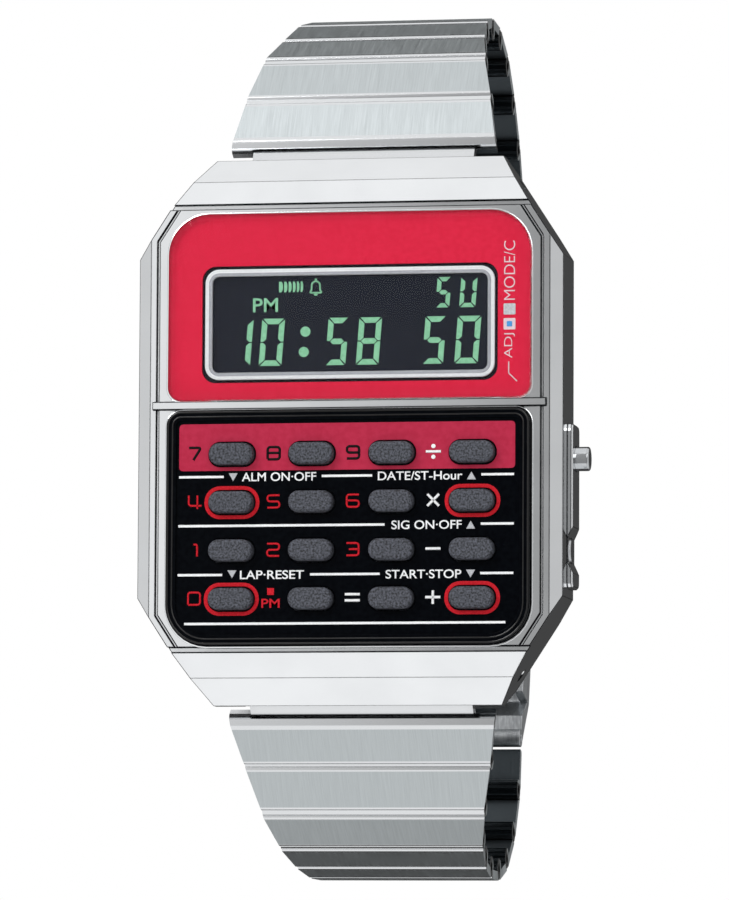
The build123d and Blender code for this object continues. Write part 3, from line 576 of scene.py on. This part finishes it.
def segment_digit(mark, left, low, width, height, thick=segment_width):
    """The lit segments of one digit: a top, b and c right, d low, e and f left, g middle."""
    w, h, t, g, m = width, height, thick, segment_gap, height / 2
    shapes = {
        "a": [(2 * g, h), (w - 2 * g, h), (w - t - g, h - t), (t + g, h - t)],
        "d": [(2 * g, 0), (w - 2 * g, 0), (w - t - g, t), (t + g, t)],
        "g": [(t / 2 + g, m), (t + g, m + t / 2), (w - t - g, m + t / 2),
              (w - t / 2 - g, m), (w - t - g, m - t / 2), (t + g, m - t / 2)],
        "f": [(0, h - 2 * g), (t, h - t - g), (t, m + t / 2 + g), (t / 2, m + g), (0, m + g)],
        "e": [(0, 2 * g), (t, t + g), (t, m - t / 2 - g), (t / 2, m - g), (0, m - g)],
        "b": [(w, h - 2 * g), (w - t, h - t - g), (w - t, m + t / 2 + g),
              (w - t / 2, m + g), (w, m + g)],
        "c": [(w, 2 * g), (w - t, t + g), (w - t, m - t / 2 - g), (w - t / 2, m - g), (w, m - g)],
    }
    return [[(left + x + lean * z, low + z) for x, z in shapes[name]]
            for name in digit_shapes[mark]]


segments = []
for mark, left, width in (("1", -9.75, 1.78), ("0", -7.28, 1.82), ("5", -1.99, 1.62),
                          ("8", 0.46, 1.8), ("5", 5.71, 1.66), ("0", 8.26, 1.86)):
    segments += segment_digit(mark, left, digits_low, width, digits_height)
for mark, left, width in (("S", 6.75, 1.1), ("U", 8.63, 1.28)):
    segments += segment_digit(mark, left, day_low, width, day_height, small_segment_width)
segments += [pill(x, z, 0.8, 0.8) for x, z in ((-3.68, 5.9), (-3.56, 7.5))]
# The six bars beside the bell, each with its right corners cut
for left, width in ((-5.69, 0.32), (-5.28, 0.26), (-4.92, 0.24), (-4.58, 0.22), (-4.26, 0.2),
                    (-3.96, 0.2)):
    cut, right = left + width * 0.6, left + width
    segments.append([(left, bars_low), (cut, bars_low), (right, bars_low + 0.23),
                     (right, bars_high - 0.21), (cut, bars_high), (left, bars_high)])
bell_path = softened([(-3.25, 10.55), (-3.08, 10.75), (-3.08, 11.3), (-2.75, 11.5), (-2.42, 11.3),
                      (-2.42, 10.75), (-2.25, 10.55)], 0.15)
bell = stroked([bell_path], 0.14, display_depth, closed=True)
bell_dots = printed([pill(-2.75, 10.4, 0.3, 0.16), pill(-2.75, 11.6, 0.18, 0.16)], display_depth)
pm_display = lettering("PM", -7.76, -5.76, 9.08, 10.18, display_depth)
join_as("display_segments", [printed(segments, display_depth), bell, bell_dots, pm_display],
        segment_mint, "case")

# Window frame: its inner half slopes down to the display, and a darker ring of lacquer on it is
# painted shade
window_middle, window_width, window_height, window_corner = 8.1, 23.0, 8.7, 1.1
slope = [oval((0, window_middle), window_width - 2 * inset, window_height - 2 * inset,
              window_corner - inset) for inset in (0.3, 0.54)]
join_as("window_frame_shade_ring", [printed(slope, mask_depth)], painted_shade_lacquer, "case")

# Display mask: the column of words and squares beside the window
square_left, square_right = 12.2, 13.14
thin_weight = -0.008
column = [
    lettering("MODE/C", 12.22, 13.1, 9.72, 14.35, mask_depth, upwards=True, weight=thin_weight),
    lettering("ADJ", 12.25, 13.1, 5.18, 7.12, mask_depth, upwards=True, weight=thin_weight),
    printed([softened(bar(square_left, square_right, 7.4, 8.3), 0.1)], mask_depth),
    stroked([[(12.62, 4.9), (12.62, 4.0), (13.28, 3.36)]], 0.11, mask_depth),
]
grey_square = printed([softened(bar(square_left, square_right, 8.57, 9.45), 0.1)], mask_depth)
blue_square = printed([softened(bar(12.46, 12.88, 7.64, 8.06), 0.06)], mask_depth,
                      2 * ink_thickness)
join_as("mask_white_print", column, rose_white_ink, "case")
join_as("mask_grey_print", [grey_square], grey_ink, "case")
join_as("mask_blue_print", [blue_square], blue_ink, "case")

# Keypad: red strip, rings, lines and legends
key_xs = [-9.155, -2.805, 3.545, 9.895]
key_zs = [-2.16, -5.94, -9.72, -13.5]
legend_xs = [-12.12, -5.85, 0.45, 6.8]
legend_rise = 0.06
hole_width, hole_height, hole_corner = 3.74, 1.94, 0.92
strip_margin = 0.03
ring_outer, ring_inner = 0.32, 0.02
on_strip_depth = panel_depth - 0.025


def key_hole(column, row, grow):
    return oval((key_xs[column], key_zs[row]), hole_width + 2 * grow, hole_height + 2 * grow,
                hole_corner + grow)


strip = [softened(bar(-13.39, 13.24, -3.45, 0.23), 0.35)]
strip += [key_hole(column, 0, strip_margin) for column in range(4)]
join_as("keypad_red_strip", [printed(strip, panel_depth)], strip_red_ink, "case")
rings = [printed([key_hole(column, row, grow) for grow in (ring_outer, ring_inner)], panel_depth)
         for column, row in ((0, 1), (3, 1), (0, 3), (3, 3))]

glyphs = {
    "0": [[(0, 0), (1, 0), (1, 1), (0, 1), (0, 0.02)]],
    "1": [[(0.42, 0.96), (0.72, 1.0), (0.72, 0)]],
    "2": [[(0, 1), (1, 1), (1, 0.5), (0, 0.5), (0, 0), (1, 0)]],
    "3": [[(0, 1), (1, 1), (1, 0), (0, 0)], [(0.2, 0.5), (1, 0.5)]],
    "4": [[(0, 1.04), (0, 0.2), (1.06, 0.2)], [(0.72, 1.04), (0.72, -0.06)]],
    "5": [[(1, 1), (0, 1), (0, 0.5), (1, 0.5), (1, 0), (0, 0)]],
    "6": [[(1, 1), (0, 1), (0, 0), (1, 0), (1, 0.52), (0, 0.52)]],
    "7": [[(0, 1), (1, 1), (0.36, 0)]],
    "8": [[(0, 0), (1, 0), (1, 1), (0, 1), (0, 0.02)], [(0, 0.52), (1, 0.52)]],
    "9": [[(1, 0.48), (0, 0.48), (0, 1), (1, 1), (1, 0), (0, 0)]],
    "-": [[(-0.12, 0.5), (1.12, 0.5)]],
    "=": [[(-0.12, 0.28), (1.12, 0.28)], [(-0.12, 0.78), (1.12, 0.78)]],
    "+": [[(-0.12, 0.5), (1.12, 0.5)], [(0.5, -0.05), (0.5, 1.05)]],
    "x": [[(0.02, 0.02), (0.98, 0.98)], [(0.02, 0.98), (0.98, 0.02)]],
    "/": [[(-0.12, 0.5), (1.12, 0.5)]],
}
glyph_size, glyph_corner = 0.96, 0.24
glyph_line, strip_glyph_line, sign_line = 0.17, 0.2, 0.22


def legend(mark, column, row, width, depth=panel_depth):
    left = legend_xs[column] - glyph_size / 2
    low = key_zs[row] + legend_rise - glyph_size / 2
    paths = [
        softened([(left + x * glyph_size, low + z * glyph_size) for x, z in path],
                 glyph_corner, closed=False)
        for path in glyphs[mark]
    ]
    return stroked(paths, width, depth)


black_legends = [legend(mark, column, 0, strip_glyph_line, on_strip_depth)
                 for column, mark in enumerate("789")]
join_as("keypad_black_print", black_legends, black_ink, "case")

red_parts = list(rings)
for row, marks in ((1, "456"), (2, "123"), (3, "0")):
    red_parts += [legend(mark, column, row, glyph_line) for column, mark in enumerate(marks)]
red_parts.append(printed([bar(-6.3, -5.76, -13.19, -12.64)], panel_depth))
red_parts.append(lettering("PM", -6.76, -5.3, -14.19, -13.48, panel_depth))
join_as("keypad_red_print", red_parts, red_ink, "case")

line_width = 0.19
word_height = 0.69
white_parts = [legend(mark, 3, row, sign_line) for row, mark in enumerate("x-+", 1)]
white_parts.append(legend("/", 3, 0, sign_line, on_strip_depth))
white_parts.append(legend("=", 2, 3, sign_line))
divide_dots = [pill(legend_xs[3], key_zs[0] + legend_rise + rise, 0.34, 0.34)
               for rise in (0.42, -0.42)]
lines = []
for z, spans in ((-3.92, ((-13.39, -9.82), (-2.02, 1.97), (10.58, 13.15))),
                 (-7.76, ((-13.42, 2.97), (10.55, 13.15))),
                 (-11.6, ((-13.45, -9.89), (-2.91, 2.61), (10.52, 13.12))),
                 (-15.42, ((-12.9, 12.51),))):
    lines += [bar(left, right, z - line_width / 2, z + line_width / 2) for left, right in spans]
white_parts += [printed(divide_dots, on_strip_depth), printed(lines, panel_depth)]
for words, left, right, low in (("ALM ON·OFF", -8.38, -2.46, -4.29),
                                ("DATE/ST-Hour", 2.42, 9.09, -4.31),
                                ("SIG ON·OFF", 3.51, 9.06, -8.14),
                                ("LAP·RESET", -8.48, -3.39, -11.95),
                                ("START·STOP", 3.07, 9.04, -11.98)):
    white_parts.append(lettering(words, left, right, low, low + word_height, panel_depth))
join_as("keypad_white_print", white_parts, white_ink, "case")

arrow_x, arrow_z = 0.36, 0.31
arrows = [[(x - arrow_x, z - up * arrow_z), (x + arrow_x, z - up * arrow_z), (x, z + up * arrow_z)]
          for x, z, up in ((-9.07, -3.95, -1), (9.8, -4.0, 1), (9.76, -7.83, 1),
                           (-9.11, -11.55, -1), (9.76, -11.63, -1))]
join_as("keypad_grey_print", [printed(arrows, panel_depth)], grey_ink, "case")

# Each opening in the steel: half its width, its low and high ends, and the radii of its low and
# high corners
keypad_opening = (14.4, -17.1, 1.3, 3.2, 1.2)
display_opening = (14.35, 2.15, 16.75, 1.0, 3.2)


def opening_path(opening, inset):
    """An opening's outline, drawn in by an inset."""
    half_width, low, high, low_radius, high_radius = opening
    left, right, low, high = inset - half_width, half_width - inset, low + inset, high - inset
    result = []
    corners = ((right, high, high_radius), (left, high, high_radius),
               (left, low, low_radius), (right, low, low_radius))
    for turn, (x, z, radius) in enumerate(corners):
        radius -= inset
        centre_x = x - radius if x > 0 else x + radius
        centre_z = z - radius if turn < 2 else z + radius
        result += quarter(centre_x, centre_z, radius, turn)
    return result


# Keypad rim: two thin polished beads round the black panel
beads = [stroked([opening_path(keypad_opening, inset)], width, rim_depth, width, closed=True)
         for inset, width in ((0.14, 0.2), (0.5, 0.16))]
# Both openings have a rolled, polished edge
edge_inset, edge_width, edge_thickness = -0.1, 0.2, 0.09
edges = [stroked([opening_path(opening, edge_inset)], edge_width, plateau_depth, edge_thickness,
                 closed=True) for opening in (keypad_opening, display_opening)]
for bead in beads + edges:
    only(bead)
    bpy.ops.object.shade_smooth()
join_as("opening_edges", edges, edge_steel, "case")
join_as("keypad_rim_beads", beads, bead_black, "case")

# Case back: plain words, etched
words_back = [
    lettering("STAINLESS STEEL BACK", -8.5, 8.5, 9.6, 10.6, case_depth, 0.02, back=True),
    lettering("WATER RESISTANT", -6.2, 6.2, -11.0, -10.0, case_depth, 0.02, back=True),
]
join_as("back_etching", words_back, etched_ink, "case")

# Studio, with sizes in metres: pale floor, white surroundings, soft lamps. Past the watch's
# shadow the paper runs out into the white background, for the camera alone.
bpy.ops.mesh.primitive_plane_add(size=6, location=(0, 0, -0.09))
floor = bpy.context.view_layer.objects.active
floor.name = "floor"
floor_finish, paper, floor_shader, floor_place = start_finish(
    "pale_paper_floor", {"Base Color": linear("#F1F1F1"), "Roughness": 0.9})
floor_reach = add_node(paper, "VectorMath", {"operation": "LENGTH"}, {0: floor_place})
floor_seen = add_node(paper, "Math", {"operation": "MULTIPLY"}, {
    0: remap(paper, floor_reach.outputs["Value"], 0.1, 0.5),
    1: add_node(paper, "LightPath").outputs["Is Camera Ray"]})
floor_white = add_node(paper, "Emission", {"Color": linear("#FFFFFF"), "Strength": 1.0})
floor_mix = add_node(paper, "MixShader", {}, {
    0: floor_seen.outputs[0], 1: floor_shader.outputs["BSDF"], 2: floor_white.outputs["Emission"]})
floor_output = next(node for node in paper.nodes if node.type == "OUTPUT_MATERIAL")
paper.links.new(floor_mix.outputs["Shader"], floor_output.inputs["Surface"])
floor.data.materials.append(floor_finish)
floor.visible_glossy = False
floor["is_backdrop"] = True

world = bpy.data.worlds.new("white_studio")
bpy.context.scene.world = world
world.use_nodes = True
sky = world.node_tree
sky.nodes.clear()


def fade(source, start, end, low, high):
    """A smooth run between two strengths along one direction."""
    return remap(sky, source, start, end, low, high, "SMOOTHSTEP")


def background(strength):
    """White light of a strength that is one number or changes with the direction."""
    node = add_node(sky, "Background", {"Color": linear("#FFFFFF")})
    if isinstance(strength, float):
        node.inputs["Strength"].default_value = strength
    else:
        sky.links.new(strength, node.inputs["Strength"])
    return node.outputs["Background"]


# Mirrored surfaces see a lit room, white in front and above and a little greyer at the sides.
# Straight behind the watch, tipped a little, is a dark cloth between paler walls. Right in front
# is a card: nearly white on the left, dark grey in the middle and lighter on the right.
direction = add_node(sky, "TexCoord").outputs["Generated"]
toward = add_node(sky, "SeparateXYZ", {}, {"Vector": direction})
sideways = add_node(sky, "Math", {"operation": "ABSOLUTE"}, {0: toward.outputs["X"]}).outputs[0]
tip = add_node(sky, "Math", {"operation": "MULTIPLY"}, {0: toward.outputs["Z"]})
tip.inputs[1].default_value = -0.07
backwards = add_node(sky, "Math", {"operation": "ADD"}, {0: toward.outputs["Y"], 1: tip.outputs[0]})
card = mix_numbers(sky, fade(toward.outputs["X"], 0.2, 0.6, 0.0, 1.0),
                   fade(toward.outputs["X"], -0.225, -0.14, 0.95, 0.3), 0.6)
far_wall = fade(sideways, 0.32, 0.55, 0.06, 0.8)
open_room = mix_numbers(sky, fade(backwards.outputs[0], 0.33, 0.5, 0.0, 1.0),
                        fade(sideways, 0.55, 0.85, 1.0, 0.7), far_wall)
room = mix_numbers(sky, fade(toward.outputs["Y"], -0.75, -0.6, 0.0, 1.0), card, open_room)

# Matt surfaces see an even and dimmer white, and the camera sees white, through glass too.
path = add_node(sky, "LightPath")
seen = add_node(sky, "Math", {"operation": "MAXIMUM"}, {
    0: path.outputs["Is Camera Ray"], 1: path.outputs["Is Transmission Ray"]})
lit = add_node(sky, "MixShader", {}, {
    0: path.outputs["Is Glossy Ray"], 1: background(0.62), 2: background(room)})
shown = add_node(sky, "MixShader", {}, {
    0: seen.outputs[0], 1: lit.outputs["Shader"], 2: background(1.0)})
add_node(sky, "OutputWorld", links={"Surface": shown.outputs["Shader"]})


def soft_lamp(name, place, size, power):
    """A soft lamp that is turned to the watch."""
    lamp = bpy.data.lights.new(name, "AREA")
    lamp.shape = "RECTANGLE"
    lamp.size, lamp.size_y = size
    lamp.energy = power
    stand = bpy.data.objects.new(name, lamp)
    bpy.context.collection.objects.link(stand)
    stand.location = place
    stand.rotation_euler = (-Vector(place)).to_track_quat("-Z", "Y").to_euler()


soft_lamp("key_softbox", (-0.5, -0.7, 0.6), (0.5, 0.5), 5.5)
soft_lamp("fill_softbox", (0.3, -0.9, 0.45), (0.4, 0.6), 2.0)

# Camera: a little to the right of the watch and below it, half a metre away
yaw, rise, distance = radians(10.5), radians(-5.0), 0.5
target = Vector((1.4 * mm, y_at(0), -1.95 * mm))
lens = bpy.data.cameras.new("camera")
lens.lens = 257.0
lens.sensor_width = 36
camera = bpy.data.objects.new("camera", lens)
bpy.context.collection.objects.link(camera)
away = Vector((sin(yaw) * cos(rise), -cos(yaw) * cos(rise), sin(rise)))
camera.location = target + distance * away
camera.rotation_euler = (target - camera.location).to_track_quat("-Z", "Y").to_euler()
camera.rotation_euler.rotate_axis("Z", radians(0.3))
bpy.context.scene.camera = camera
bpy.context.scene.view_settings.view_transform = "Standard"

low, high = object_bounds()
